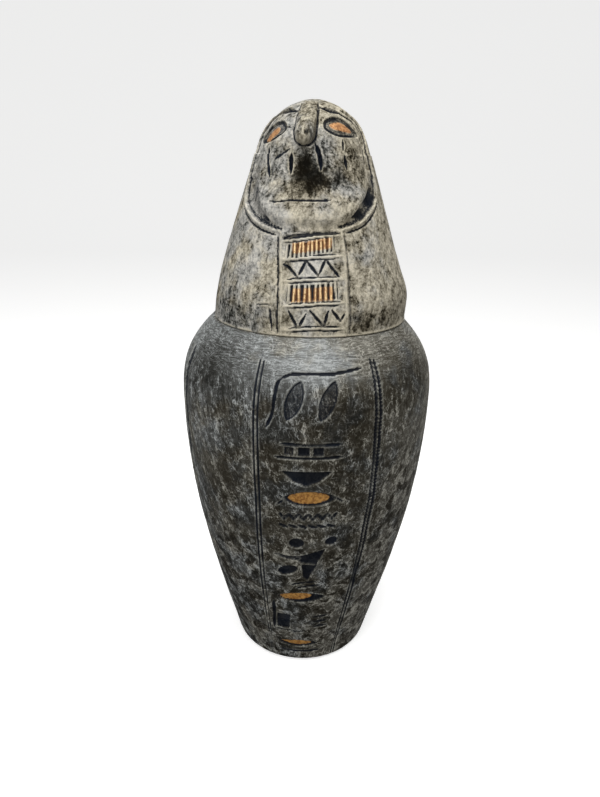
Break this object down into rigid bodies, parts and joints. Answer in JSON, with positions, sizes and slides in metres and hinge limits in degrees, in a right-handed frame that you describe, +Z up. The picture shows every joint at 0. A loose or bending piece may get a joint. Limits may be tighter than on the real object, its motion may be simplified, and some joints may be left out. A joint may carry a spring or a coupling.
{
  "type": "canopic jar",
  "caption": "Tall shouldered vessel with a flat rim and a falcon-headed lid that lifts off, carved with panels, a collar and a column of sunk marks.",
  "frame": {"origin": "middle of the jar's flat underside", "axes": "+Z up along the jar's axis; the panel with the column of marks and the falcon's face look towards -Y"},
  "size_m": [0.1337, 0.1338, 0.3],
  "materials": {
    "jar": "matt carved dark stone with a pale dry-brushed patina",
    "lid": "matt carved dark stone with a chalky beige patina and copper paint in the eyes and collar"
  },
  "bodies": {
    "root": {"jar": "jar", "lid": "lid"}
  },
  "joints": []
}
